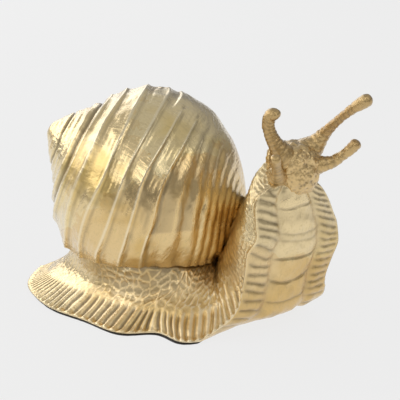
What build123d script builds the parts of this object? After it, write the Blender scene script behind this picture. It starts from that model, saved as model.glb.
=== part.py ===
from build123d import *
import math
import os

# A gilded cast-resin garden snail, an ornament about 300 mm long that stands on a felt-covered foot.
#
# The frame: +X runs from the tail to the head, +Z is up, and the origin is on the felt's underside
# below the shell. Left and right are the snail's own sides, so its right is -Y. Sizes are millimetres.
#
# The snail comes apart into a body casting (foot, raised neck and head in one), a hollow shell
# casting that drops over a round boss on the body's back, four feelers plugged into sockets in the
# head, a steel pin through each plug, and the felt under the foot.

os.makedirs("parts", exist_ok=True)

# Felt under the foot
felt_thickness = 2.0
felt_margin = 1.5

# Foot: its outline on the table, a pleated frill round it, and a flank that rises to the shell
foot_rear = 137.0
foot_front = 64.0
foot_half_width = 74.0
rear_outline_shares = (
    (-1, 0), (-0.885, 0.46), (-0.67, 0.76), (-0.48, 0.89), (-0.28, 0.93), (-0.09, 1),
)
front_outline_shares = (
    (0.11, 0.96), (0.38, 0.79), (0.7, 0.84), (0.88, 0.77), (0.97, 0.45), (1, 0),
)
rim_height = 3.0
rim_undercut = 1.0
frill_width = 15.0
frill_height = 10.0
frill_overlap = 5.0
pleat_count = 96
pleat_depth = 2.0
rim_wave = 1.2
rim_wave_count = 12
seat_height = 45.0
seat_half_length = 64.5
seat_half_width = 57.0
seat_x = -26.0
seat_y = -5.5
flank_middle_share = 0.5
flank_bulge_share = 0.42

# Shell: an egg-shaped casting on a sloping axis, wound with ribs like a screw of several starts
shell_x = -27.0
shell_y = -1.0
shell_z = 94.5
shell_length = 164.0
shell_radius = 74.5
shell_yaw = 25.0
shell_slope = 28.5
shell_middle_share = 0.52
tip_radius = 8.5
tip_stand = 2.5
tip_shares = ((0, 0.35), (0.3, 0.75), (1, 1), (1.8, 0.95))
profile_shares = (
    (0.02, 0.12), (0.05, 0.21), (0.11, 0.37), (0.16, 0.55), (0.225, 0.74), (0.31, 0.9),
    (0.41, 0.975), (0.5, 1.0), (0.61, 0.98), (0.7, 0.9), (0.775, 0.81), (0.835, 0.71),
    (0.89, 0.58), (0.94, 0.43), (0.97, 0.29), (1.0, 0.1),
)
rib_starts = 4
bold_rib_shares = (0.004, 0.01, 0.018, 0.032, 0.084, 0.146, 0.213, 0.284, 0.347, 0.403, 0.455)
fine_rib_count = 14
fine_rib_end_share = 0.985
valley_share = 0.46
flute_depth_share = 0.17
suture_start = 3
suture_depth_share = 0.3
lip_start = 2
sections_per_start = 6
core_radius = 5.0
whorl_growth_share = 0.05
growth_shares = ((0.12, 0.28), (0.8, 1))
wall = 7.0
hollow_shares = (
    (0.14, 0.25), (0.26, 0.72), (0.4, 0.93), (0.62, 0.93), (0.8, 0.71), (0.91, 0.42),
)

# The shell's round mouth and the boss on the body's back that it drops over
mouth_radius = 42.0
mouth_height = 8.0
boss_height = 5.0
boss_clearance = 0.3

# Neck: the front of the foot raised, and turned to the snail's right
neck_turn = 25.0
neck_side = 44.0
neck_reach = 96.0
neck_half_width = 40.0
neck_height = 119.0
sole_bulge = 2.0
shoulder_share = 0.78
neck_room = 0.5
neck_shares = (
    (0, 0.67, 0.08, 0.55, -0.65), (0.08, 0.75, 0.16, 0.79, -0.24), (0.15, 0.8, 0.23, 0.92, -0.02),
    (0.25, 0.845, 0.3, 0.92, 0), (0.36, 0.895, 0.36, 0.93, 0), (0.49, 0.94, 0.42, 1, 0.05),
    (0.67, 0.96, 0.53, 0.89, 0.08), (0.83, 0.985, 0.63, 0.81, 0), (0.92, 1, 0.68, 0.69, -0.06),
    (1, 1, 0.74, 0.5, -0.1),
)

# Head
head_reach = 92.0
head_height = 129.0
head_half_width = 23.0
head_radius = 19.0
head_shares = (
    (-0.98, 0.3, 0), (-0.86, 0.56, 0), (-0.5, 0.89, 0.08), (0, 1, 0.25), (0.5, 0.89, 0.08),
    (0.86, 0.56, 0), (0.98, 0.3, 0),
)
drop_share = 0.5

# Feelers: where each leaves the head as shares of the head's half sizes (forward, left, up), and
# its path from there as shares of its length in the same directions, with the knob's middle last
upper_length = 56.0
upper_radius = 5.0
lower_length = 30.0
lower_radius = 4.0
feeler_stations = 7
taper_share = 0.6
knob_share = 0.86
collar = 2.5
plug_depth = 9.0
plug_clearance = 0.15
pin_radius = 1.0
pin_clearance = 0.05
pin_in_head = 6.0
pin_in_feeler = 5.0
feelers = {
    "upper_left_feeler": (
        (0.2, 0.7, 0.72), upper_length, upper_radius,
        ((0, 0, 0), (0.08, 0.05, 0.12), (0.22, 0.13, 0.28), (0.36, 0.22, 0.44),
         (0.48, 0.29, 0.56), (0.56, 0.335, 0.67), (0.59, 0.355, 0.71)),
    ),
    "upper_right_feeler": (
        (0.2, -0.7, 0.72), upper_length, upper_radius,
        ((0, 0, 0), (-0.01, -0.04, 0.16), (-0.04, -0.07, 0.31), (-0.04, -0.07, 0.42),
         (-0.01, -0.05, 0.48), (0.06, -0.01, 0.45)),
    ),
    "lower_left_feeler": (
        (0.5, 0.84, -0.05), lower_length, lower_radius,
        ((0, 0, 0), (0.2, 0.13, 0.12), (0.4, 0.3, 0.3), (0.54, 0.4, 0.46), (0.59, 0.435, 0.55)),
    ),
    "lower_right_feeler": (
        (0.5, -0.84, -0.05), lower_length, lower_radius,
        ((0, 0, 0), (0.2, -0.13, 0.12), (0.4, -0.3, 0.3), (0.54, -0.4, 0.46), (0.59, -0.435, 0.55)),
    ),
}


def body_outline(inset):
    """One closed smooth curve, the foot's outline from above, moved in by inset."""
    rear, front, side = foot_rear - inset, foot_front - inset, foot_half_width - inset
    right = [(along * rear, -out * side) for along, out in rear_outline_shares]
    right += [(along * front, -out * side) for along, out in front_outline_shares]
    left = [(x, -y) for x, y in reversed(right[1:-1])]
    return right + left


def rim_corners(inset, depth):
    """The corners of the frill's outline: a slow wave, with every second corner deeper by depth."""
    outer = Edge.make_spline([Vector(x, y) for x, y in body_outline(0)], periodic=True)
    inner = Edge.make_spline([Vector(x, y) for x, y in body_outline(frill_width)], periodic=True)
    corners = []
    for i in range(2 * pleat_count):
        share = i / (2 * pleat_count)
        wave = rim_wave * (1 - math.cos(math.tau * rim_wave_count * share)) / 2
        fall = inset + depth * (i % 2) + wave * (1 - inset / (frill_width + frill_overlap))
        start, end = outer @ share, inner @ share
        spot = start + (end - start) * (fall / frill_width)
        corners.append((spot.X, spot.Y))
    return corners


# The shell's own directions: along its axis from the tip, up from the axis, and to its right
slope, yaw = math.radians(shell_slope), math.radians(shell_yaw)
shell_axis = Vector(
    math.cos(slope) * math.cos(yaw), math.cos(slope) * math.sin(yaw), -math.sin(slope)
)
shell_up = Vector(
    math.sin(slope) * math.cos(yaw), math.sin(slope) * math.sin(yaw), math.cos(slope)
)
shell_right = shell_axis.cross(shell_up)
shell_middle = Vector(shell_x, shell_y, shell_z)
shell_tip = shell_middle - shell_axis * (shell_middle_share * shell_length)
profile = Edge.make_spline(
    [Vector(along * shell_length, out * shell_radius) for along, out in profile_shares]
)
fine_rib_step = (fine_rib_end_share - bold_rib_shares[-1]) / fine_rib_count
rib_shares = bold_rib_shares + tuple(
    bold_rib_shares[-1] + fine_rib_step * (i + 1) for i in range(fine_rib_count)
)


def shell_plane(angle):
    """The half plane through the shell's axis at an angle from its top, turning to its right."""
    turn = math.radians(angle)
    outward = shell_up * math.cos(turn) + shell_right * math.sin(turn)
    return Plane(origin=shell_tip, x_dir=shell_axis, z_dir=shell_axis.cross(outward))


def whorl_growth(along_share, angle):
    """The last whorl's growth at an angle from the top, from -180 (its start) to 180 (its lip)."""
    (rise_start, rise_end), (fall_start, fall_end) = growth_shares
    rise = (along_share - rise_start) / (rise_end - rise_start)
    fall = (fall_end - along_share) / (fall_end - fall_start)
    return 1 + whorl_growth_share * angle / 180 * max(0, min(1, rise, fall))


def profile_corner(rib, depth_share):
    """A corner of the ribbed profile, rib counted from the tip, sunk by a share of the spacing."""
    whole = min(int(rib), len(rib_shares) - 2)
    low, high = rib_shares[whole], rib_shares[whole + 1]
    share = low + (high - low) * (rib - whole)
    spot, along = profile @ share, profile % share
    depth = depth_share * (high - low) * profile.length
    return (spot.X + along.Y * depth, spot.Y - along.X * depth)


def ribbed_corners(start, shift):
    """The ribbed profile on one plane of the shell, with every rib moved on by shift of a rib."""
    first, last = profile @ 0, profile @ 1
    corners = [(first.X, first.Y)]
    for rib in range(len(rib_shares) - 2):
        depth_share = flute_depth_share
        if rib - start == suture_start - rib_starts:
            depth_share = suture_depth_share
        if rib - start == suture_start and start < lip_start:
            depth_share = suture_depth_share
        if rib - start == suture_start and start == lip_start:
            depth_share += (suture_depth_share - flute_depth_share) * (1 - shift)
        corners.append(profile_corner(rib + shift, 0))
        corners.append(profile_corner(rib + shift + valley_share, depth_share))
    return corners + [(last.X, last.Y)]


seat_z = felt_thickness + seat_height

# The shell's hollow, closed below by a floor with a round mouth in it
with BuildPart() as shell_hollow:
    with BuildSketch(shell_plane(0)):
        with BuildLine():
            hollow = [(along * shell_length, out * shell_radius - wall) for along, out in hollow_shares]
            Polyline((hollow[0][0], 0), *hollow, (hollow[-1][0], 0), close=True)
        make_face()
    revolve(axis=Axis(shell_tip, shell_axis))
    split(bisect_by=Plane.XY.offset(seat_z + mouth_height), keep=Keep.TOP)
    with BuildSketch(Plane.XY.offset(seat_z - wall)):
        with Locations((seat_x, seat_y)):
            Circle(mouth_radius)
    extrude(amount=wall + mouth_height)

with BuildPart() as shell:
    for start in range(rib_starts):
        for step in range(sections_per_start + 1):
            shift = step / sections_per_start
            angle = (start + shift) * 360 / rib_starts
            side_angle = angle - 360 if start >= lip_start else angle
            corners = [
                (along, out * whorl_growth(along / shell_length, side_angle))
                for along, out in ribbed_corners(start, shift)
            ]
            with BuildSketch(shell_plane(angle)):
                with BuildLine():
                    Polyline(
                        (corners[0][0], core_radius / 2),
                        *corners,
                        (corners[-1][0], core_radius / 2),
                        close=True,
                    )
                make_face()
        loft(ruled=True)
    with BuildSketch(shell_plane(0)):
        with BuildLine():
            tip_end = shell_length + tip_stand
            dome = [
                ((along - 1) * tip_stand + profile_shares[0][0] * shell_length, out * tip_radius)
                for along, out in tip_shares
            ]
            core = [(dome[-1][0], core_radius), (tip_end, core_radius), (tip_end, 0)]
            Polyline((dome[0][0], 0), *dome, *core, close=True)
        make_face()
    revolve(axis=Axis(shell_tip, shell_axis))
    split(bisect_by=Plane.XY.offset(seat_z), keep=Keep.TOP)
    add(shell_hollow.part, mode=Mode.SUBTRACT)

# The room that the shell takes up, which the neck's back is cut clear of
with BuildPart() as shell_room:
    with BuildSketch(shell_plane(0)):
        with BuildLine():
            room_edge = Spline(
                *[(along * shell_length, out * shell_radius + neck_room) for along, out in profile_shares]
            )
            Polyline(room_edge @ 1, ((room_edge @ 1).X, 0), ((room_edge @ 0).X, 0), room_edge @ 0)
        make_face()
    revolve(axis=Axis(shell_tip, shell_axis))
    split(bisect_by=Plane.XY.offset(seat_z), keep=Keep.TOP)

# The neck's and head's own directions: forward, left and up
turn = math.radians(neck_turn)
forward = Vector(math.cos(turn), -math.sin(turn), 0)
leftward = Vector(math.sin(turn), math.cos(turn), 0)
upward = Vector(0, 0, 1)
neck_base = Plane(origin=(0, 0, felt_thickness), x_dir=forward, z_dir=upward)
head_centre = forward * head_reach + leftward * neck_side + upward * head_height
head_sizes = (head_radius, head_half_width, head_radius)


def in_head(shares, scale):
    """A vector in world directions from shares (forward, left, up) of one scale or of three."""
    scales = scale if isinstance(scale, tuple) else (scale, scale, scale)
    parts = [share * size for share, size in zip(shares, scales)]
    return forward * parts[0] + leftward * parts[1] + upward * parts[2]


def feeler_path(socket_shares, length, path_shares):
    """A feeler's centre line, from its collar outside the head to its knob, and the knob's middle."""
    foot = head_centre + in_head(socket_shares, head_sizes)
    foot += in_head(path_shares[1], collar).normalized() * collar
    points = [foot + in_head(share, length) for share in path_shares]
    return Edge.make_spline(points[:-1]), points[-1]


with BuildPart() as sockets:
    for socket_shares, length, radius, path_shares in feelers.values():
        path, knob = feeler_path(socket_shares, length, path_shares)
        inward = (path % 0) * -1
        with BuildSketch(Plane(origin=path @ 0 - inward * collar, z_dir=inward)):
            Circle(radius + plug_clearance)
        extrude(amount=collar + plug_depth + plug_clearance)
        with BuildSketch(Plane(origin=path @ 0 + inward * plug_depth, z_dir=inward)):
            Circle(pin_radius + pin_clearance)
        extrude(amount=pin_in_head + pin_clearance)

with BuildPart() as body_casting:
    for height, reach, back, width, lean in neck_shares:
        front, rear = reach * neck_reach, back * neck_reach
        side, middle = width * neck_half_width, (front + rear) / 2
        centre = neck_side + lean * neck_half_width
        with BuildSketch(neck_base.offset(height * neck_height)):
            with BuildLine():
                Spline(
                    (front, centre - side),
                    (front + sole_bulge, centre),
                    (front, centre + side),
                )
                Spline(
                    (front, centre + side),
                    (middle, centre + side * shoulder_share),
                    (rear, centre),
                    (middle, centre - side * shoulder_share),
                    (front, centre - side),
                )
            make_face()
    loft()
    add(shell_room.part, mode=Mode.SUBTRACT)
    for across, size, forth in head_shares:
        middle = head_centre + leftward * (across * head_half_width)
        radius = size * head_radius
        with BuildSketch(Plane(origin=middle, x_dir=forward, z_dir=leftward)):
            with BuildLine():
                top, bottom = (0, -radius), (0, radius)
                nose = (radius + forth * head_radius, drop_share * forth * head_radius)
                Spline(top, nose, bottom, tangents=((1, 0), (-1, 0)))
                ThreePointArc(bottom, (-radius, 0), top)
            make_face()
    loft()
    for height, inset, depth in (
        (felt_thickness, rim_undercut, pleat_depth),
        (felt_thickness + rim_height, 0, pleat_depth),
        (felt_thickness + rim_height + frill_height, frill_width + frill_overlap, 0),
    ):
        with BuildSketch(Plane.XY.offset(height)):
            with BuildLine():
                Polyline(*rim_corners(inset, depth), close=True)
            make_face()
    loft(ruled=True)
    flank_foot = body_outline(frill_width)
    seat = []
    for x, y in flank_foot:
        bearing = math.atan2(y - seat_y, x - seat_x) - math.radians(shell_yaw)
        across = math.hypot(
            seat_half_width * math.cos(bearing), seat_half_length * math.sin(bearing)
        )
        reach = seat_half_length * seat_half_width / across
        bearing += math.radians(shell_yaw)
        seat.append((seat_x + reach * math.cos(bearing), seat_y + reach * math.sin(bearing)))
    flank_middle = [
        (x0 + (x1 - x0) * flank_bulge_share, y0 + (y1 - y0) * flank_bulge_share)
        for (x0, y0), (x1, y1) in zip(flank_foot, seat)
    ]
    for height, outline in (
        (felt_thickness, flank_foot),
        (felt_thickness + seat_height * flank_middle_share, flank_middle),
        (seat_z, seat),
    ):
        with BuildSketch(Plane.XY.offset(height)):
            with BuildLine():
                Spline(*outline, periodic=True)
            make_face()
    loft()
    with BuildSketch(Plane.XY.offset(seat_z)):
        with Locations((seat_x, seat_y)):
            Circle(mouth_radius - boss_clearance)
    extrude(amount=boss_height)
    add(sockets.part, mode=Mode.SUBTRACT)

with BuildPart() as felt:
    with BuildSketch():
        with BuildLine():
            Polyline(*rim_corners(rim_undercut + pleat_depth + felt_margin, 0), close=True)
        make_face()
    extrude(amount=felt_thickness)

castings = {"body_casting": body_casting, "shell": shell, "felt_pad": felt}
for name, (socket_shares, length, radius, path_shares) in feelers.items():
    path, knob = feeler_path(socket_shares, length, path_shares)
    inward = (path % 0) * -1
    with BuildPart() as feeler:
        for station in range(feeler_stations + 1):
            share = station / feeler_stations
            with BuildSketch(Plane(origin=path @ share, z_dir=path % share)):
                Circle(radius * (1 - (1 - taper_share) * share))
        loft()
        with Locations(knob):
            Sphere(radius * knob_share)
        with BuildSketch(Plane(origin=path @ 0, z_dir=inward)):
            Circle(radius)
        extrude(amount=plug_depth)
        with BuildSketch(Plane(origin=path @ 0 + inward * plug_depth, z_dir=inward * -1)):
            Circle(pin_radius + pin_clearance)
        extrude(amount=plug_depth + pin_in_feeler + pin_clearance, mode=Mode.SUBTRACT)
    castings[name] = feeler
    with BuildPart() as pin:
        with BuildSketch(Plane(origin=path @ 0 + inward * (plug_depth + pin_in_head), z_dir=inward * -1)):
            Circle(pin_radius)
        extrude(amount=plug_depth + pin_in_head + pin_in_feeler)
    castings[name.replace("feeler", "pin")] = pin

for name, casting in castings.items():
    casting.part.label = name
    export_step(casting.part, f"parts/{name}.step")
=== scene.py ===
import math

import bpy
import numpy as np
from mathutils import Matrix


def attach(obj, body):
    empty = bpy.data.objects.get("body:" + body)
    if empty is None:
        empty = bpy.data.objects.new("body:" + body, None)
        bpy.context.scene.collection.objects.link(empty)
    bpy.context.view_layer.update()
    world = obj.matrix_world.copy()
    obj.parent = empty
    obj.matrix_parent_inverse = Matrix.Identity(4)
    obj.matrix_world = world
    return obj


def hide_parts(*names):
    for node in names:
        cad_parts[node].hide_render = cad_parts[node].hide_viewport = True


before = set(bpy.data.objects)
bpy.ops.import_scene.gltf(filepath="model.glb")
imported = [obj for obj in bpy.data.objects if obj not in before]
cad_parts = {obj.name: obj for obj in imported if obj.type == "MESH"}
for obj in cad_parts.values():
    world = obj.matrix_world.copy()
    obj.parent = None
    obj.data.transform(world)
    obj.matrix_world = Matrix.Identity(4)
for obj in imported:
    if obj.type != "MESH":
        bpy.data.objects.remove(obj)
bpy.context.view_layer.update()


# The photograph's view of the snail: a long lens, 35 degrees round from the side and 18 degrees up.
# The eye's place, in metres, puts the figure where it stands in the picture.
def placed(right, up, back, spot):
    """The matrix of a camera or a lamp from its right, its up, its back and the spot where it stands."""
    columns = np.eye(4)
    columns[:3] = np.array((right, up, back, spot)).T
    return Matrix(columns.tolist())


view_turn, view_rise = math.radians(35), math.radians(18)
view_eye = (0.7094, -0.9818, 0.4793)
view_lens, film_width = 152.1, 36
view_right = (math.cos(view_turn), math.sin(view_turn), 0)
view_up = (
    -math.sin(view_turn) * math.sin(view_rise),
    math.cos(view_turn) * math.sin(view_rise),
    math.cos(view_rise),
)
view_back = (
    math.sin(view_turn) * math.cos(view_rise),
    -math.cos(view_turn) * math.cos(view_rise),
    math.sin(view_rise),
)
camera_data = bpy.data.cameras.new("camera")
camera_data.lens, camera_data.sensor_width = view_lens, film_width
camera = bpy.data.objects.new("camera", camera_data)
camera.matrix_world = placed(view_right, view_up, view_back, view_eye)
bpy.context.scene.collection.objects.link(camera)
bpy.context.scene.camera = camera
bpy.context.scene.view_settings.view_transform = "Standard"


# The table under the snail: a wide disc in the pale tone of the photograph's ground, with a faint shadow.
# The eye, and what the metal mirrors, see that tone. All other light from it is that of a plain pale top.
def node_maker(tree):
    """A function that adds a shader node of a kind to a tree and fills the sockets it is given by name."""
    def add(kind, **values):
        made = tree.nodes.new("ShaderNode" + kind)
        for socket, value in values.items():
            made.inputs[socket.replace("_", " ")].default_value = value
        return made

    return add


def new_material(name):
    """An empty node material, with one function that adds a node to it and one that links two sockets."""
    material = bpy.data.materials.new(name)
    material.use_nodes = True
    tree = material.node_tree
    tree.nodes.clear()
    return material, node_maker(tree), tree.links.new


def grey(tone):
    """A colour whose three parts are the same."""
    return (tone, tone, tone, 1)


table_radius, table_sides, pale = 9.0, 96, grey(0.855)
table_material, node, link = new_material("pale_table")
table_seen = (node("Emission", Color=pale, Strength=0.925), node("BsdfDiffuse", Color=grey(0.08)))
table_lighting = (node("Emission", Strength=0.33), node("BsdfDiffuse", Color=grey(0.68)))
table_mix = node("MixShader")
for socket, pair in ((2, table_seen), (1, table_lighting)):
    both = node("AddShader")
    link(pair[0].outputs[0], both.inputs[0])
    link(pair[1].outputs[0], both.inputs[1])
    link(both.outputs[0], table_mix.inputs[socket])
table_path, table_rays = node("LightPath"), node("Math")
table_rays.operation = "MAXIMUM"
link(table_path.outputs["Is Camera Ray"], table_rays.inputs[0])
link(table_path.outputs["Is Glossy Ray"], table_rays.inputs[1])
link(table_rays.outputs[0], table_mix.inputs[0])
link(table_mix.outputs[0], node("OutputMaterial").inputs["Surface"])
table_turn = np.arange(table_sides) * math.tau / table_sides
table_rim = np.stack((np.cos(table_turn), np.sin(table_turn), 0 * table_turn), 1) * table_radius
table_mesh = bpy.data.meshes.new("table")
table_mesh.from_pydata(table_rim.tolist(), [], [list(range(table_sides))])
table_mesh.materials.append(table_material)
table = bpy.data.objects.new("table", table_mesh)
bpy.context.scene.collection.objects.link(table)

# The studio: a room lighter above than at its sides, seen by the eye as pale as the table, and five
# softboxes. The wide one on the left is the main light, and the others open the sides and the tail.
studio = bpy.data.worlds.new("studio")
studio.use_nodes = True
studio.node_tree.nodes.clear()
bpy.context.scene.world = studio
node, link = node_maker(studio.node_tree), studio.node_tree.links.new
studio_axes = node("SeparateXYZ")
studio_ramp = node("ValToRGB")
studio_side, studio_ceiling = studio_ramp.color_ramp.elements
studio_side.position, studio_side.color = 0.0, (0.26, 0.255, 0.25, 1)
studio_ceiling.position, studio_ceiling.color = 0.75, grey(0.68)
studio_seen, studio_light = node("Background", Color=pale), node("Background", Strength=0.75)
studio_mix = node("MixShader")
link(node("TexCoord").outputs["Generated"], studio_axes.inputs[0])
link(studio_axes.outputs["Z"], studio_ramp.inputs[0])
link(studio_ramp.outputs[0], studio_light.inputs["Color"])
link(node("LightPath").outputs["Is Camera Ray"], studio_mix.inputs[0])
link(studio_light.outputs[0], studio_mix.inputs[1])
link(studio_seen.outputs[0], studio_mix.inputs[2])
link(studio_mix.outputs[0], node("OutputWorld").inputs["Surface"])
# Places and sizes are in metres. Each lamp faces the point of the upright axis at the height of its aim.
softboxes = {
    "left_softbox": {"place": (-1.25, -0.85, 0.9), "aim": 0.1, "width": 1.7, "height": 1.0, "power": 7.4},
    "right_softbox": {"place": (1.1, -0.4, 1.1), "aim": 0.1, "width": 0.7, "height": 0.6, "power": 2.0},
    "side_softbox": {"place": (-1.45, 0.05, 0.6), "aim": 0.1, "width": 0.7, "height": 0.6, "power": 2.3},
    "back_softbox": {"place": (-1.2, 0.8, 0.6), "aim": 0.1, "width": 1.0, "height": 0.7, "power": 3.3},
    "front_softbox": {"place": (0.05, -1.3, 0.95), "aim": 0.08, "width": 0.9, "height": 0.5, "power": 2.2},
}
for name, box in softboxes.items():
    data = bpy.data.lights.new(name, "AREA")
    data.shape = "RECTANGLE"
    data.size, data.size_y, data.energy = box["width"], box["height"], box["power"]
    away = np.array(box["place"]) - (0, 0, box["aim"])
    away /= np.linalg.norm(away)
    across = np.cross((0, 0, 1), away)
    across /= np.linalg.norm(across)
    lamp = bpy.data.objects.new(name, data)
    lamp.matrix_world = placed(across, np.cross(away, across), away, box["place"])
    bpy.context.scene.collection.objects.link(lamp)


# The shell: a hollow resin casting in the form of an egg on a sloping axis, wound with ribs.
# It is gilded by hand with leaf in squares, rubbed pale on the ribs and toned with amber and umber.
mm = 0.001


def travelled(points):
    """The distance walked along a line of points, from its first point up to each of them."""
    return np.append(0, np.linalg.norm(np.diff(points, axis=0), axis=1).cumsum())


def spline(rows, knots, places):
    """A natural cubic spline read at places on its knots' scale. It passes through one row at each knot, its
    second derivative changes evenly from knot to knot, and that is nought at both ends."""
    rows, knots, places = np.array(rows, float), np.array(knots, float), np.asarray(places, float)
    gap = np.diff(knots)
    slope = np.diff(rows, axis=0) / gap[:, None]
    system, pull = np.eye(len(rows)), np.zeros_like(rows)
    inner = np.arange(1, len(rows) - 1)
    system[inner, inner - 1], system[inner, inner + 1] = gap[:-1], gap[1:]
    system[inner, inner] = 2 * (gap[:-1] + gap[1:])
    pull[inner] = 6 * (slope[1:] - slope[:-1])
    bend = np.linalg.solve(system, pull)
    cell = np.clip(np.searchsorted(knots, places, side="right") - 1, 0, len(rows) - 2)
    width = gap[cell][:, None]
    after = (places - knots[cell])[:, None] / width
    before = 1 - after
    lift = (before**3 - before) * bend[cell] + (after**3 - after) * bend[cell + 1]
    return before * rows[cell] + after * rows[cell + 1] + lift * width**2 / 6


def even_curve(rows, shares):
    """The spline through given rows, with knots at their distances, read at shares of its length."""
    knots = travelled(rows)
    fine_places = np.linspace(0, knots[-1], 4000)
    length = travelled(spline(rows, knots, fine_places))
    return spline(rows, knots, np.interp(np.asarray(shares) * length[-1], length, fine_places))


def ripple(points, wavelength, seed, waves=14):
    """A smooth wandering height, mostly from -1 to 1: a sum of plane waves in seeded random directions,
    divided by the root of their number."""
    chance = np.random.default_rng(seed)
    ways = chance.normal(size=(waves, 3))
    ways *= (chance.uniform(0.6, 1.5, waves) / np.linalg.norm(ways, axis=1))[:, None]
    phase = chance.uniform(0, math.tau, waves)
    total = sum(np.sin(points @ way * math.tau / wavelength + turn) for way, turn in zip(ways, phase))
    return total / math.sqrt(waves)


def step_up(value, low, high):
    """0 below low, 1 above high, and between them three times the share squared less twice its cube."""
    share = np.clip((value - low) / (high - low), 0, 1)
    return share * share * (3 - 2 * share)


def bell(value, middle, width):
    """1 at the middle, and e to the power of minus the square of the distance from it in widths."""
    return np.exp(-(((value - middle) / width) ** 2))


def surface_normals(grid):
    """Unit normals of a grid of points: the cross product of its two directions, divided by its length."""
    normal = np.cross(np.gradient(grid, axis=0), np.gradient(grid, axis=1))
    return normal / np.maximum(np.linalg.norm(normal, axis=2, keepdims=True), 1e-12)


def gold_leaf(name, leaf, amber, shade, rough, square, grain, grain_depth, turn=(0, 0, 0)):
    """Gilding: leaf laid in squares whose overlaps show, amber and dull patches, creases in the leaf, and
    clear varnish over it. The piece's relief attribute puts umber in the hollows and a rub on the ridges; on
    the body it also puts painted shade toward umber and a painted highlight toward the rub colour."""
    umber_and_shade, rubbed_and_highlight = (0.11, 0.075, 0.028, 1), (0.98, 0.86, 0.6, 1)
    umber_and_shade_most, rub_and_highlight_most, square_contrast, overlap_most = 0.66, 0.6, 0.34, 0.45
    hollow_dullness, crease_height = 0.25, 0.0012
    material, node, link = new_material(name)

    def mix(amount, low, high, how="MIX"):
        """A blend of two colours by an amount. Each is a plain value or what a socket gives."""
        made = node("Mix")
        made.data_type, made.blend_type = "RGBA", how
        for socket, value in ((made.inputs[0], amount), (made.inputs[6], low), (made.inputs[7], high)):
            if isinstance(value, bpy.types.NodeSocket):
                link(value, socket)
            else:
                socket.default_value = value
        return made.outputs[2]

    def spread(value, low, high, to_low=0.0, to_high=1.0):
        """The smooth step of step_up, from low to high, brought between two other numbers."""
        made = node("MapRange", From_Min=low, From_Max=high, To_Min=to_low, To_Max=to_high)
        made.interpolation_type = "SMOOTHSTEP"
        link(value, made.inputs["Value"])
        return made.outputs[0]

    place = node("TexCoord").outputs["Object"]
    turned = node("Mapping", Rotation=turn)
    stretched = node("Mapping", Rotation=turn, Scale=(1.2, 9.0, 1.2))
    clouds = node("TexNoise", Scale=16.0, Detail=3.0, Roughness=0.55, Distortion=0.3)
    patches = node("TexNoise", Scale=38.0, Detail=4.0, Roughness=0.6, Distortion=0.6)
    specks = node("TexNoise", Scale=520.0, Detail=3.0, Roughness=0.6)
    creases = node("TexNoise", Scale=60.0, Detail=4.0, Roughness=0.65, Distortion=0.4)
    grains = node("TexNoise", Scale=grain, Detail=3.0, Roughness=0.6)
    for each in (turned, stretched, clouds, patches, specks, grains):
        link(place, each.inputs["Vector"])
    link(stretched.outputs[0], creases.inputs["Vector"])
    squares = node(
        "TexBrick", Color1=grey(0), Color2=grey(1), Mortar=grey(0.5), Scale=1.0, Mortar_Size=0.0006,
        Mortar_Smooth=0.9, Brick_Width=square, Row_Height=square,
    )
    squares.offset = 0.37
    link(mix(0.05, turned.outputs[0], patches.outputs["Color"]), squares.inputs["Vector"])

    relief_and_light = node("Attribute")
    relief_and_light.attribute_name = "relief_and_light"
    colour = mix(spread(clouds.outputs["Fac"], 0.47, 0.66), leaf, amber)
    colour = mix(spread(patches.outputs["Fac"], 0.52, 0.75, 0, 0.55), colour, shade)
    colour = mix(square_contrast, colour, squares.outputs["Color"], "SOFT_LIGHT")
    colour = mix(spread(squares.outputs["Fac"], 0.1, 0.9, 0, overlap_most), colour, amber)
    colour = mix(spread(specks.outputs["Fac"], 0.5, 0.8, 0, 0.35), colour, shade)
    colour = mix(spread(creases.outputs["Fac"], 0.56, 0.7, 0, 0.3), colour, shade)
    # Umber in the hollows, and on the body painted shade; the rub on the ridges, and on the body a painted
    # highlight.
    hollow_and_shade = spread(relief_and_light.outputs["Fac"], 0.0, 0.5, umber_and_shade_most, 0.0)
    colour = mix(hollow_and_shade, colour, umber_and_shade)
    colour = mix(spread(relief_and_light.outputs["Fac"], 0.6, 1.0, 0.0, rub_and_highlight_most), colour, rubbed_and_highlight)

    dull = node("Math")
    dull.operation = "MULTIPLY_ADD"
    link(hollow_and_shade, dull.inputs[0])
    dull.inputs[1].default_value = hollow_dullness
    link(spread(clouds.outputs["Fac"], 0.3, 0.7, rough - 0.05, rough + 0.08), dull.inputs[2])
    crease_bump = node("Bump", Strength=0.35, Distance=crease_height)
    link(creases.outputs["Fac"], crease_bump.inputs["Height"])
    grain_bump = node("Bump", Strength=0.6, Distance=grain_depth)
    link(grains.outputs["Fac"], grain_bump.inputs["Height"])
    link(crease_bump.outputs[0], grain_bump.inputs["Normal"])
    metal = node("BsdfPrincipled", Metallic=1.0, Coat_Weight=1.0, Coat_IOR=1.65, Coat_Roughness=0.24)
    link(colour, metal.inputs["Base Color"])
    link(dull.outputs[0], metal.inputs["Roughness"])
    link(grain_bump.outputs[0], metal.inputs["Normal"])
    link(grain_bump.outputs[0], metal.inputs["Coat Normal"])
    link(metal.outputs[0], node("OutputMaterial").inputs["Surface"])
    return material


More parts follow.
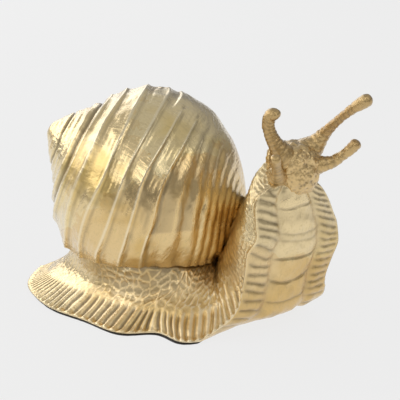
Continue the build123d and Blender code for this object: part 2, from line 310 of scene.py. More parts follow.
def add_surface(name, grids, material, reliefs_and_light):
    """One smooth mesh from grids of points, each with a relief value for every point. Points that meet are
    made one, four corners with two the same become a triangle, and the faces are turned to face outwards."""
    weld_size = 0.002 * mm
    points, quads, values, start = [], [], [], 0
    for grid, relief_and_light in zip(grids, reliefs_and_light):
        rows, columns = grid.shape[:2]
        number = np.arange(rows * columns).reshape(rows, columns) + start
        corners = (number[:-1, :-1], number[1:, :-1], number[1:, 1:], number[:-1, 1:])
        quads.append(np.stack(corners, -1).reshape(-1, 4))
        points.append(grid.reshape(-1, 3))
        values.append(relief_and_light.reshape(-1))
        start += rows * columns
    points, quads, values = np.concatenate(points), np.concatenate(quads), np.concatenate(values)
    key = np.round(points / weld_size).astype(np.int64)
    _, first, same = np.unique(key, axis=0, return_index=True, return_inverse=True)
    points, values, quads = points[first], values[first], same.reshape(-1)[quads]
    one, two, three, four = points[quads.T]
    if (one * (np.cross(two, three) + np.cross(three, four))).sum() < 0:
        quads = quads[:, ::-1]
    repeat = (quads == np.roll(quads, 1, axis=1)).sum(1)
    whole, corner = quads[repeat == 0], quads[repeat == 1]
    doubled = (corner == np.roll(corner, 1, axis=1)).argmax(1)
    order = (doubled[:, None] + np.array((0, 1, 2))) % 4
    faces = whole.tolist() + np.take_along_axis(corner, order, 1).tolist()
    mesh = bpy.data.meshes.new(name)
    mesh.from_pydata(points.tolist(), [], faces)
    mesh.polygons.foreach_set("use_smooth", np.ones(len(faces), bool))
    relief_layer = mesh.attributes.new("relief_and_light", "FLOAT", "POINT")
    relief_layer.data.foreach_set("value", values.astype(np.float32))
    mesh.materials.append(material)
    mesh.update()
    piece = bpy.data.objects.new(name, mesh)
    bpy.context.scene.collection.objects.link(piece)
    return piece


# The egg: a profile turned round the axis. It grows by a little with the turn, as a coiled shell does,
# and bulges low at the front, where the lip swells over the neck.
upward = np.array((0, 0, 1))
shell_yaw, shell_slope = math.radians(25), math.radians(28.5)
shell_heading = np.array((math.cos(shell_yaw), math.sin(shell_yaw), 0))
shell_axis = math.cos(shell_slope) * shell_heading - math.sin(shell_slope) * upward
shell_up = math.sin(shell_slope) * shell_heading + math.cos(shell_slope) * upward
shell_right = np.cross(shell_axis, shell_up)
shell_length, shell_radius, tip_share = 164 * mm, 74.5 * mm, 0.52
shell_middle = np.array((-27, -1, 94.5)) * mm
shell_rows, shell_columns = 331, 300
shell_growth, lip_swell = 0.05, 9 * mm
profile_shares = (
    (0, 0), (0.004, 0.06), (0.02, 0.115), (0.05, 0.21), (0.11, 0.37), (0.16, 0.55), (0.225, 0.74),
    (0.31, 0.9), (0.41, 0.975), (0.5, 1.0), (0.61, 0.98), (0.7, 0.9), (0.775, 0.81), (0.835, 0.71),
    (0.89, 0.58), (0.94, 0.43), (0.975, 0.27), (0.995, 0.1), (1.0, 0),
)
shell_tip = shell_middle - shell_axis * tip_share * shell_length
along_share = np.linspace(0, 1, shell_rows)
turn_degrees = np.linspace(-180, 180, shell_columns)
angle = np.radians(turn_degrees)
outward = np.cos(angle)[:, None] * shell_up + np.sin(angle)[:, None] * shell_right
profile = even_curve(np.array(profile_shares) * (shell_length, shell_radius), along_share)
growing = np.clip(np.minimum((along_share - 0.12) / 0.16, (1 - along_share) / 0.2), 0, 1)
joined_up = 1 - step_up(np.abs(turn_degrees), 150, 180)
growth = 1 + shell_growth * growing[:, None] * (turn_degrees / 180 * joined_up)[None]
swelling = bell(along_share, 0.88, 0.1)[:, None] * bell(turn_degrees, 112, 36)[None]
radius = profile[:, 1][:, None] * growth + lip_swell * swelling
shell_grid = shell_tip + profile[:, 0][:, None, None] * shell_axis + radius[..., None] * outward[None]

# The ribs' places: each crosses the top of the shell at its own share of the way from tip to lip, and
# leads ahead or behind as it goes round. Past the last broad rib they run finer and fan out on the near side.
rib_shares = (0.045, 0.066, 0.09, 0.115, 0.14, 0.172, 0.232, 0.287, 0.362, 0.428, 0.491, 0.548)
starts, first_suture = 3, 5
lead_degrees = (-180, -100, -20, 0, 45, 62, 75, 88, 104, 130, 180)
lead_ribs = (-1.7, -0.8, -0.05, 0, 0.03, 0.08, 0.2, 0.36, 0.47, 0.68, 1.3)
scale_numbers, scale_sizes = (7, 8, 9, 10, 11.5), (1, 1.3, 1.4, 1.6, 2.0)
fan_degrees = (-180, 20, 31, 40, 52, 62, 82, 100, 180)
fan_shares = (0, 0, 0.01, 0.028, 0.047, 0.065, 0.08, 0.09, 0.1)
broad_step, fine_step, fan_width, tip_step = 0.06, 0.036, 0.16, 0.02
rib_wander, lead_smoothing, ribs_beyond = 0.06, 17, 10
least_spacing, most_spacing = 2 * mm, 21 * mm
last_broad = len(rib_shares) - 1
rib_places = rib_shares + (rib_shares[-1] + ribs_beyond * broad_step,)
rib_numbers = tuple(range(len(rib_shares))) + (last_broad + ribs_beyond,)
rib_number = np.interp(along_share, rib_places, rib_numbers)
rib_number -= np.clip((rib_places[0] - along_share) / tip_step, 0, None)
lead = np.pad(np.interp(turn_degrees, lead_degrees, lead_ribs), 8, mode="reflect", reflect_type="odd")
lead = np.convolve(lead, np.ones(lead_smoothing) / lead_smoothing, "valid")
lead_scale = np.interp(rib_number, scale_numbers, scale_sizes)
rib_phase = rib_number[:, None] - lead[None] * lead_scale[:, None]
fan = np.interp(turn_degrees, fan_degrees, fan_shares)[None]
past_broad = np.clip(rib_phase - last_broad, 0, None) * broad_step
past_broad = past_broad - fan * np.clip(past_broad / fan_width, 0, 1)
rib_phase = np.minimum(rib_phase, last_broad) + past_broad / fine_step
profile_length = np.linalg.norm(np.diff(profile, axis=0), axis=1).sum()
spacing = profile_length / np.maximum(np.gradient(rib_phase, along_share, axis=0), 1)
spacing = np.clip(spacing, least_spacing, most_spacing)
rib_phase += rib_wander * ripple(shell_grid, 60 * mm, 3) * step_up(along_share, 0.03, 0.12)[:, None]
lane = rib_phase - np.floor(rib_phase)
rib_index = np.floor(rib_phase)


def below_top(start, end):
    """0 on the top line of the shell and 1 down its sides: the near side from start to end, in degrees."""
    near, far = step_up(turn_degrees, start, end), step_up(-turn_degrees, 40, 90)
    return np.where(turn_degrees > 0, near, far)[None]


# The ribs' form: a sharp crest that falls steeply on one side and slopes up to the next rib, with a bead
# along it. Fine ribs are round. The last broad ribs stop short of the top, with a nick at their ends.
rib_depth, bead_rise, bead_width, nick_depth = 0.125, 0.02, 0.085, 0.5 * mm
suture_share = 0.24
streaks_per_rib, streak_height = 4, 0.14 * mm
bead = bell(np.minimum(lane, 1 - lane), 0, bead_width)
fine = step_up(rib_phase, 11.15, 11.6)
last_ribs = step_up(rib_phase, 9.45, 9.6) * (1 - fine)
strength = 1 - fine * (1 - below_top(4, 26)) - last_ribs * (1 - below_top(12, 20))
nick = last_ribs * bell(turn_degrees[None], 14, 3.5) * bead
crest = np.maximum(np.exp(-lane / 0.17), np.clip((lane - 0.15) / 0.85, 0, 1) ** 1.6)
fine_crest = (0.5 + 0.5 * np.cos(math.tau * (lane - 0.06 * np.sin(math.tau * lane)))) ** 1.3
crest = crest * (1 - fine) + fine_crest * fine
tip_calm = np.interp(along_share, (0, 0.05, 0.13, 0.2), (0.15, 0.35, 0.6, 1))[:, None]
strength = strength * tip_calm * (1 - 0.3 * fine)
depth = rib_depth * spacing * (1 - crest) * strength
rise = bead_rise * spacing * bead * strength * (1 - 0.8 * fine) - nick_depth * nick

# The sutures between the whorls, the casting's unevenness, and streaks along the ribs on the near side.
# One square of leaf there is toned darker.
suture_end = (rib_index == first_suture + starts) * step_up(-turn_degrees, 130, 178)[None]
in_suture = (rib_index == first_suture) + (rib_index == first_suture - starts) + suture_end
suture = bell(lane, 0.42, 0.13) * in_suture * step_up(along_share, 0.05, 0.08)[:, None]
suture_fade = np.interp(along_share, (0, 0.12, 0.3), (1, 1, 0.55))[:, None]
suture_depth = suture_share * spacing * suture * suture_fade
uneven = 0.35 * mm * ripple(shell_grid, 34 * mm, 5) + 0.16 * mm * ripple(shell_grid, 12 * mm, 8)
crinkle = 0.1 * mm * ripple(shell_grid * (1, 1, 2.2), 5 * mm, 9) * (1 - strength * 0.6)
streak_phase = math.tau * streaks_per_rib * rib_phase + 1.5 * ripple(shell_grid, 40 * mm, 14)
streak = np.sin(streak_phase) * (1 - fine)
streak *= step_up(ripple(shell_grid, 30 * mm, 15), -0.4, 0.6) * step_up(rib_phase, 5.5, 7)
shell_x, shell_y, shell_z = np.moveaxis(shell_grid, 2, 0)
toned = step_up(shell_z, 77 * mm, 79.5 * mm) * step_up(-shell_z, -140 * mm, -112 * mm) * (shell_y < 0)
toned = toned * step_up(shell_x, 12 * mm, 18 * mm) * step_up(-shell_x, -47 * mm, -38 * mm)
calm = step_up(along_share, 0.0, 0.1) * step_up(-along_share, -1, -0.9)
shift = rise - depth - suture_depth + (uneven + crinkle + streak_height * streak) * calm[:, None]
shift[0], shift[-1] = shift[0].mean(), shift[-1].mean()
normals = surface_normals(shell_grid)
normals *= np.sign((normals * outward[None]).sum(2, keepdims=True).mean())
normals[0], normals[-1] = -shell_axis, shell_axis
shell_grid = shell_grid + shift[..., None] * normals

# Underneath, the turn's two ends meet in a smooth seam, and the egg is cut off where it sits on the body.
seam_degrees = 14
joint_along, joint_up = np.array((-90, -20, 20, 60)) * mm, np.array((48, 46.5, 43, 38)) * mm
seam = step_up(180 - np.abs(turn_degrees), 0, seam_degrees)[None, :, None]
meeting = (shell_grid[:, :1] + shell_grid[:, -1:]) / 2
shell_grid = shell_grid * seam + meeting * (1 - seam)
shell_grid[0], shell_grid[-1] = shell_grid[0].mean(0), shell_grid[-1].mean(0)
joint_height = np.interp(shell_grid @ shell_axis, joint_along, joint_up)
shell_grid[..., 2] = np.maximum(shell_grid[..., 2], joint_height)
shell_relief = 0.5 + 0.5 * bead * strength * (1 - 0.5 * fine)
shell_relief -= 0.22 * bell(lane, 0.2, 0.13) * strength * (1 - 0.6 * fine)
shell_relief -= 0.1 * fine * strength * bell(lane, 0.45, 0.25)
shell_relief -= 0.4 * nick + 0.9 * suture + 0.2 * toned - 0.05 * streak
shell_material = gold_leaf(
    "shell_gilding", leaf=(0.835, 0.635, 0.31, 1), amber=(0.74, 0.51, 0.155, 1), shade=(0.48, 0.36, 0.15, 1),
    rough=0.24, square=0.062, grain=900.0, grain_depth=0.00012, turn=(1.57, 0.05, 0.6),
)
shell_skin = add_surface("shell_gilded", [shell_grid], shell_material, [shell_relief])
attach(shell_skin, "root")
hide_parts("shell")


# The body: foot, neck and hood in one resin casting, gilded. A pleated frill runs round the foot and up
# the near side of the neck, a net of raised lines covers the flank, and the banded sole faces forward.
neck_turn = math.radians(25)
forward = np.array((math.cos(neck_turn), -math.sin(neck_turn), 0))
leftward = np.array((math.sin(neck_turn), math.cos(neck_turn), 0))


def in_neck(forth, left, up):
    """A point in millimetres from distances forward, left and up in the neck's own directions."""
    return tuple(forward * forth + leftward * left + upward * up)


# Rows round the body from the tail by the near side to the chin and back by the far side, in millimetres:
# the margin, the frill's inner line, the waist, and the top line under the shell or behind the hood.
body_rows = (
    ((-137, 0, 3), (-119, -2, 13), (-101, -3, 26), (-82, -6, 52)),
    ((-121, -34, 3), (-102, -31, 15), (-87, -25, 29), (-75, -30, 52)),
    ((-92, -56, 3), (-80, -42, 16), (-71, -35, 30), (-63, -44, 51)),
    ((-66, -66, 3), (-57, -49, 17), (-51, -43, 30), (-47, -53, 50)),
    ((-38, -69, 3), (-32, -52.5, 17), (-28, -46, 30), (-25, -56, 49)),
    ((-12, -74, 3), (-8, -54, 17), (-5, -47, 30), (-4, -52, 49)),
    ((7, -71, 3), (9, -53, 17), (11, -43, 30), (11, -42, 47)),
    ((24, -58, 3), (20, -50, 17), (22, -38, 30), (22, -29, 45)),
    ((45, -62, 3), (34, -45.5, 17), (32, -30, 30), (28, -17, 43)),
    ((58, -53, 3), (48, -36, 18), (40, -21, 32), (32, -4, 43)),
    ((64, -42, 8), (56, -29, 21), in_neck(45, 6.5, 35), in_neck(22, 24, 46)),
    ((72.5, -37, 16), in_neck(67, 1, 27), in_neck(46, 9, 41), in_neck(20, 29, 51)),
    ((78.5, -33.5, 26), in_neck(73, 5.5, 36), in_neck(48, 10.5, 48), in_neck(19, 34, 58)),
    ((81, -32, 37), in_neck(79, 7, 44), in_neck(52, 11.5, 55), in_neck(20, 38, 66)),
    ((82.6, -31, 50), in_neck(82, 7.5, 54), in_neck(57, 12, 64), in_neck(22, 40, 75)),
    ((84, -31, 60), in_neck(84, 8, 63), in_neck(62, 12, 72), in_neck(24, 42, 83)),
    ((85.7, -32, 69), in_neck(86, 8, 71), in_neck(67, 11.5, 80), in_neck(30, 43, 91)),
    ((89.7, -31, 76), in_neck(89, 9.5, 77.5), in_neck(71, 11.5, 86), in_neck(37, 44, 97)),
    ((92.4, -30, 82), in_neck(91, 11, 83.5), in_neck(74.5, 11.5, 91), in_neck(46, 45, 102)),
    ((92.5, -31, 91), in_neck(91, 11, 92), in_neck(77.5, 12, 98), in_neck(55, 45, 107)),
    ((91.8, -31, 102), in_neck(91, 11, 102), in_neck(79, 13, 106), in_neck(62, 45, 113)),
    ((92, -30, 110), in_neck(91, 12.5, 109.5), in_neck(79, 16, 115), in_neck(70, 43, 123)),
    ((94.6, -25, 116), in_neck(90, 18, 116), in_neck(80, 20, 123), in_neck(74, 42, 134)),
    ((99.3, -14, 121), in_neck(90, 29, 121.5), in_neck(83, 28, 129), in_neck(77, 42, 138)),
    (in_neck(95, 41, 121), in_neck(91, 41, 123), in_neck(87, 41, 127), in_neck(79, 42, 137)),
    (in_neck(96, 54, 119), in_neck(91, 54, 121), in_neck(85, 52, 124), in_neck(78, 43, 129)),
    (in_neck(95.5, 65, 113.7), in_neck(91, 64, 115), in_neck(82, 62, 119), in_neck(73, 44, 123)),
    (in_neck(94, 74.4, 101), in_neck(89, 73.5, 103), in_neck(79, 72, 108), in_neck(62, 44, 114)),
    (in_neck(92, 80.5, 89), in_neck(87, 79.5, 91), in_neck(75, 77, 98), in_neck(52, 44, 105)),
    (in_neck(91, 84, 82), in_neck(85, 82, 84), in_neck(72, 78, 91), in_neck(42, 44, 98)),
    (in_neck(90, 86.3, 72), in_neck(84, 84, 74), in_neck(68, 78.5, 82), in_neck(34, 44, 91)),
    (in_neck(88.5, 87.5, 63.6), in_neck(82, 84.5, 66), in_neck(64, 78, 74), in_neck(26, 44, 84)),
    (in_neck(87, 85.4, 56), in_neck(81, 82, 59), in_neck(60, 76, 67), in_neck(22, 45, 76)),
    (in_neck(85, 82, 45), in_neck(79, 80, 49), in_neck(56, 74, 58), in_neck(19, 46, 68)),
    (in_neck(83.5, 80, 35), in_neck(77, 78.5, 41), in_neck(53, 73, 51), in_neck(17, 48, 60)),
    (in_neck(82, 81, 27), in_neck(73, 79, 35), in_neck(50, 73, 45), in_neck(16, 51, 53)),
    (in_neck(78, 81, 19.5), in_neck(68, 78.5, 30), in_neck(47, 73, 41), in_neck(16, 54, 49)),
    (in_neck(69, 79.5, 13.5), in_neck(58, 77, 26), in_neck(43, 73, 37), (41, 38, 47)),
    ((84, 53, 8), (67, 47, 20), (52, 44, 34), (31, 45, 46)),
    ((67, 60, 4), (52, 49, 18), (38, 45, 31), (18, 49, 46)),
    ((45, 63, 3), (34, 47, 17), (22, 44, 30), (5, 50, 47)),
    ((20, 61, 3), (14, 45, 17), (6, 42, 30), (-10, 51, 48)),
    ((-8, 68, 3), (-9, 50, 17), (-13, 43, 30), (-26, 51, 49)),
    ((-36, 66, 3), (-34, 49, 17), (-36, 42, 30), (-42, 49, 50)),
    ((-65, 65, 3), (-58, 47, 17), (-56, 39, 30), (-58, 42, 51)),
    ((-93, 54, 3), (-82, 39, 16), (-75, 30, 29), (-71, 30, 52)),
    ((-122, 33, 3), (-105, 25, 14), (-89, 18, 28), (-80, 13, 52)),
    ((-137, 0, 3), (-119, -2, 13), (-101, -3, 26), (-82, -6, 52)),
)
chin_row, half_stations = 24, 560
rails = np.array(body_rows, float) * mm
near_rails = rails[: chin_row + 1].transpose(1, 0, 2)
far_rails = rails[chin_row:][::-1].transpose(1, 0, 2)
rail_shares = (0, 0.36, 0.66, 1)
frill_points, flank_points = 20, 31
frill_share = np.linspace(0, rail_shares[1], frill_points)
skin_share = np.concatenate((frill_share[:-1], np.linspace(rail_shares[1], 1, flank_points)))


def row_places(margin_rows, count):
    """For stations spread evenly along the margin, the number of the listed row that each falls on:
    the rows' own distances along it, turned round."""
    line = even_curve(margin_rows, np.linspace(0, 1, 4001))
    walk = travelled(line)
    spots = [np.linalg.norm(line - point, axis=1).argmin() for point in margin_rows]
    return np.interp(np.linspace(0, 1, count), walk[spots] / walk[-1], np.arange(len(margin_rows)))


def cell_net(points, size, seed):
    """Distances to the nearest and the second nearest of a lattice's random points, in squares. Each square
    has one, placed by the fractions of large sines of the square's number. Where the two distances are nearly
    the same, the place lies on the border of two cells."""
    axes = points.shape[-1]
    low = np.floor(points / size).astype(np.int64)
    offsets = np.stack(np.meshgrid(*[np.arange(-1, 2)] * axes, indexing="ij"), -1).reshape(-1, axes)
    first = np.full(points.shape[:-1], 9.0)
    second = first.copy()
    for offset in offsets:
        cell = low + offset
        mixed = (cell * np.array((73856093, 19349663, 83492791))[:axes]).sum(-1) + seed
        stirred = [np.abs(np.sin(mixed * part) * 43758.5453) for part in (0.013, 0.027, 0.041)[:axes]]
        jitter = np.modf(np.stack(stirred, -1))[0]
        away = np.linalg.norm(points / size - cell - 0.5 - 0.8 * (jitter - 0.5), axis=-1)
        second = np.where(away < first, first, np.minimum(second, away))
        first = np.minimum(first, away)
    return first, second


net_size, net_height, net_line = 6.6 * mm, 0.7 * mm, 0.15
grain_size, grain_height, grain_line_width = 4.3 * mm, 0.5 * mm, 0.2
pleat_depth, frill_wave = 1.9 * mm, 0.72 * mm
pitch_walk, pitch_sizes = np.array((0, 55, 105, 190, 235)) * mm, np.array((5.0, 5.0, 8.0, 8.0, 6.2)) * mm
flank_stations, front_stations, foot_middle = slice(80, 320), slice(360, 520), np.array((-20, 0, 20)) * mm


def dress_side(side_rails, painted_highlight):
    """One side of the body: a sheet that is a spline across its four rails, pushed out along its normals by
    pleats on the frill (a cosine of the distance along the margin), by the net of raised cell borders on
    the flank, and by a finer grain up the neck. Its relief also carries painted shade along the top, under
    the shell and behind the hood, and a painted highlight at the foot of the neck, as strong as the last
    argument."""
    row_at = row_places(side_rails[0], half_stations)
    rows = np.arange(side_rails.shape[1])
    margin, inner, waist, top = [spline(rail, rows, row_at) for rail in side_rails]
    across = spline(np.eye(4), np.arange(4), np.interp(skin_share, rail_shares, np.arange(4)))
    sheet = np.einsum("vk,ktc->tvc", across, np.stack((margin, inner, waist, top)))
    share, row = skin_share[None], row_at[:, None]

    walk = travelled(margin)
    pleat_count = np.append(0, np.cumsum(np.diff(walk) / np.interp(walk, pitch_walk, pitch_sizes)[1:]))
    pleat = (pleat_count + 0.15 * ripple(margin, 40 * mm, 21))[:, None] + 0.05 * ripple(sheet, 30 * mm, 22)
    lane = pleat - np.floor(pleat)
    ridge = 0.5 + 0.5 * np.cos(math.tau * lane)
    groove = 1 - ridge**0.45
    on_foot = 1 - step_up(row, 12.6, 14.4)
    band = step_up(share, 0.02, 0.07) * (1 - step_up(share, 0.3, 0.4)) * on_foot

    climb = np.pad(np.linalg.norm(np.diff(sheet, axis=1), axis=2).cumsum(1), ((0, 0), (1, 0)))
    flat = np.stack(np.broadcast_arrays(travelled(inner)[:, None], climb), -1)
    wander = np.stack([ripple(sheet, 12 * mm, seed) for seed in (61, 62)], -1)
    first, second = cell_net(flat + 0.8 * mm * wander, net_size, 5)
    line = bell(second - first, 0, net_line)
    first, second = cell_net(flat + 0.6 * mm * wander, grain_size, 9)
    grain_line = bell(second - first, 0, grain_line_width)
    upper, clear = step_up(row, 11.5, 13.5), step_up(row, 2.6, 4.2)
    nets = step_up(share, 0.34, 0.44) * (1 - step_up(share, 0.93, 1.0))
    nets_upper = step_up(share, 0.08, 0.2) * (1 - step_up(share, 0.9, 1.0))
    nets = nets * (1 - upper) + nets_upper * upper
    rim = bell(share, 0, 0.05)

    raised = (net_height * line * (1 - upper) + grain_height * grain_line * upper) * nets * clear
    soft = (1 - clear) * nets * (0.2 * mm * grain_line + 0.2 * mm * ripple(sheet, 3.2 * mm, 35))
    pits = 0.12 * mm * ripple(sheet, 2.6 * mm, 31) * nets
    height = -pleat_depth * groove * band + raised + soft + pits + 0.3 * mm * rim
    height = height + 0.3 * mm * ripple(sheet, 24 * mm, 33) * step_up(share, 0, 0.1)
    height *= step_up(-share, -1, -0.95)
    height = height + frill_wave * np.cos(math.tau * lane) * bell(share, 0, 0.09) * on_foot
    normal = surface_normals(sheet)
    normal *= np.sign((normal * (sheet - foot_middle))[flank_stations].sum())
    skin = sheet + normal * height[..., None]
    skin[:, 0] = margin

    relief_and_light = 0.5 + 0.42 * (ridge - 0.35) * band - 0.5 * groove * band
    relief_and_light = relief_and_light + nets * clear * (1 - upper) * (0.62 * line - 0.3)
    relief_and_light = relief_and_light + nets * upper * (0.5 * grain_line - 0.16) + 0.3 * rim
    # Painted shade: the top of the flank, under the shell and behind the hood, darkened toward umber.
    relief_and_light = relief_and_light - 0.45 * step_up(share, 0.9, 1.0) * step_up(row, 1, 4)
    # Painted highlight: around the foot of the neck, from the margin up to the waist, the colour is lightened
    # toward the rub colour, as strongly as the last argument says.
    relief_and_light = relief_and_light + painted_highlight * bell(row, 10, 2.2) * (1 - step_up(share, 0.5, 0.75))
    return margin, row_at, skin, relief_and_light


# The near side gets a painted highlight at the foot of its neck; the far side gets none.
near_margin, near_rows, near_skin, near_relief_and_light = dress_side(near_rails, painted_highlight=0.42)
far_margin, _, far_skin, far_relief_and_shade = dress_side(far_rails, painted_highlight=0)
closing_stations = 12
for end in (0, half_stations - 1):
    nearness = 1 - step_up(np.abs(np.arange(half_stations) - end), 0, closing_stations)[:, None, None]
    apart = far_skin[end] - near_skin[end]
    near_skin += 0.5 * nearness * apart
    far_skin -= 0.5 * nearness * apart

# The sole, straight across from one margin to the other. Where it faces forward it swells, with a lip and
# pleats on two flanges and creases between them. On the ground it is flat, and lies on the felt.
sole_columns, near_flange, far_flange = 57, 0.29, 0.25
sole_swell, lip_rise, valley_depth = 5.0 * mm, 1.0 * mm, 2.2 * mm
pleat_fall, crease_depth, crease_width = 1.3 * mm, 0.9 * mm, 0.85 * mm
band_rise, band_pitch, sole_lift = 0.6 * mm, 17 * mm, 1.0 * mm
crease_levels = ((28, 0.8), (44, 1), (61, 1), (76, 0.5), (81, 0.6), (101, 0.8))
felt_thickness, ground_height = 2.0 * mm, 3.2 * mm
across = np.linspace(0, 1, sole_columns)
sole = near_margin[:, None] * (1 - across[None, :, None]) + far_margin[:, None] * across[None, :, None]
height_up = sole[..., 2]
facing_front = step_up(near_rows, 8.6, 11.5)[:, None]
edge = np.minimum(across / near_flange, (1 - across) / far_flange)[None]
swell = np.sin(math.pi * across)[None] ** 1.3
within = step_up(edge, 0.85, 1.2)
lip = np.sin(math.pi * np.clip(edge / 0.96, 0, 1)) ** 0.8 * (edge < 0.96)
valley = bell(edge, 1, 0.2)
sag = 5 * mm * (across[None] - 0.5) + 14 * mm * (across[None] - 0.55) ** 2
sag = sag + 1.2 * mm * ripple(sole, 34 * mm, 44)
creases = sum(part * bell(height_up, level * mm + sag, crease_width) for level, part in crease_levels)
bands = 0.5 + 0.5 * np.cos(math.tau * (height_up - sag - 36 * mm) / band_pitch)
pleat_walk = height_up / mm / (7.3 - 1.9 * across[None]) + 0.25 * edge + 0.16 * ripple(sole, 26 * mm, 45)
pleats = np.abs(np.cos(math.pi * pleat_walk)) ** 0.55
pleat_band = step_up(edge, 0.03, 0.16) * (1 - step_up(edge, 0.75, 1.0))
push = sole_swell * swell + lip_rise * lip - valley_depth * valley - pleat_fall * (1 - pleats) * pleat_band
push = (push - crease_depth * creases * within + band_rise * bands * within) * facing_front
push = push + 0.25 * mm * ripple(sole, 9 * mm, 47) * facing_front * step_up(edge, 0, 0.3)
sole_normal = surface_normals(sole)
sole_normal *= np.sign((sole_normal * forward)[front_stations].sum())
sole_skin = sole + sole_normal * push[..., None]
lowered = sole_lift * step_up(-height_up[:, 1:-1], -4 * mm, -3.1 * mm)
sole_skin[:, 1:-1, 2] = np.maximum(sole_skin[:, 1:-1, 2] - lowered, felt_thickness)
# The sole's relief puts umber in the grooves of the pleats and in the creases, and a rub on the bands.
# Painted shade: the whole sole is toned a little toward umber, and more above 55 mm where it faces forward.
sole_relief_and_shade = 0.42 - 0.06 * step_up(height_up, 55 * mm, 85 * mm) * facing_front
sole_relief_and_shade = sole_relief_and_shade + (0.1 * bands * within - 0.34 * (1 - pleats) * pleat_band) * facing_front
sole_relief_and_shade = sole_relief_and_shade - (0.26 * creases * within + 0.05 * valley) * facing_front

lid_share = np.linspace(0, 1, 4)[None, :, None]
lid = near_skin[:, -1:] * (1 - lid_share) + far_skin[:, -1:] * lid_share
body_material = gold_leaf(
    "body_gilding", leaf=(0.85, 0.66, 0.345, 1), amber=(0.76, 0.54, 0.2, 1), shade=(0.45, 0.33, 0.13, 1),
    rough=0.29, square=0.07, grain=1100.0, grain_depth=0.0003, turn=(1.57, 0.1, -0.4),
)
body_grids = [near_skin, far_skin[::-1], sole_skin[::-1], lid]
body_reliefs_and_light = [near_relief_and_light, far_relief_and_shade[::-1], sole_relief_and_shade[::-1], np.full(lid.shape[:2], 0.5)]
body_skin = add_surface("body_gilded", body_grids, body_material, body_reliefs_and_light)
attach(body_skin, "root")
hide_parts("body_casting")


# The head: part of the body casting, a blunt knob with a snout, a brow ridge, a fold under it and a mouth.
# Its skin is pitted, and the gilding is rougher and browner than on the body.
head_middle = np.array(in_neck(89, 46.5, 128.3)) * mm
head_size, head_square = np.array((18, 19, 18.7)) * mm, 2.7
head_rows, head_columns = 160, 260
pit_size, pit_width, pit_depth = 3.1 * mm, 0.34, 0.42 * mm
head_tilt = np.linspace(0, math.pi, head_rows)[:, None]
head_turn = np.linspace(0, math.tau, head_columns)[None]
head_left = np.cos(head_tilt) * np.ones_like(head_turn)
head_front = np.sin(head_tilt) * np.cos(head_turn)
head_top = np.sin(head_tilt) * np.sin(head_turn)
head_way = np.stack((head_front, head_left, head_top), -1)
head_reach = (np.abs(head_way) ** head_square).sum(2) ** (-1 / head_square)
snout = bell(head_front, 0.75, 0.4) * bell(head_top, -0.5, 0.45) * bell(head_left, 0, 0.5)
brow_line = head_top - 0.36 - 0.16 * np.cos(4.2 * head_left)
brow = bell(brow_line, 0, 0.09) * (head_front > 0) * bell(head_left, 0, 0.6)
fold = bell(brow_line, -0.2, 0.08) * (head_front > 0) * bell(head_left, 0, 0.55)
mouth = bell(head_top + 0.42 - 0.12 * np.cos(5 * head_left), 0, 0.09) * (head_front > 0.2)
mouth = mouth * np.exp(-((head_left / 0.55) ** 4))
head_scale = head_reach * (1 + 0.1 * snout + 0.04 * brow - 0.035 * fold - 0.03 * mouth)
head_spot = head_way * head_size * head_scale[..., None]
head_spot[..., 1] *= 0.92 + 0.24 * head_top
head_spot[..., 1] += 1.5 * mm * np.clip(-head_top, 0, 1)
head_grid = head_middle + head_spot @ np.stack((forward, leftward, upward))
first, second = cell_net(head_grid, pit_size, 3)
pit = bell(first, 0, pit_width)
head_push = -pit_depth * pit + 0.4 * mm * ripple(head_grid, 9 * mm, 41)
head_push += 0.14 * mm * ripple(head_grid, 2.6 * mm, 42)
head_normal = surface_normals(head_grid)
head_normal *= np.sign((head_normal * (head_grid - head_middle)).sum())
head_grid = head_grid + head_normal * head_push[..., None]
head_grid[:, -1] = head_grid[:, 0]
head_grid[0], head_grid[-1] = head_grid[0].mean(0), head_grid[-1].mean(0)
head_relief = 0.5 - 0.36 * pit + 0.25 * brow - 0.12 * fold - 0.16 * mouth
head_material = gold_leaf(
    "head_gilding", leaf=(0.78, 0.58, 0.27, 1), amber=(0.64, 0.43, 0.13, 1), shade=(0.36, 0.25, 0.09, 1),
    rough=0.34, square=0.09, grain=900.0, grain_depth=0.0004,
)
head_skin = add_surface("head_gilded", [head_grid], head_material, [head_relief])
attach(head_skin, "root")


# The four feelers: separate resin castings plugged into the head over steel pins, and gilded with it.
# They are ringed with wrinkles and end in a knob. Left and right are the snail's own.
feeler_rows, feeler_columns, knob_share = 150, 40, 0.93
wrinkle_height, wrinkles_end = 0.12 * mm, 0.8


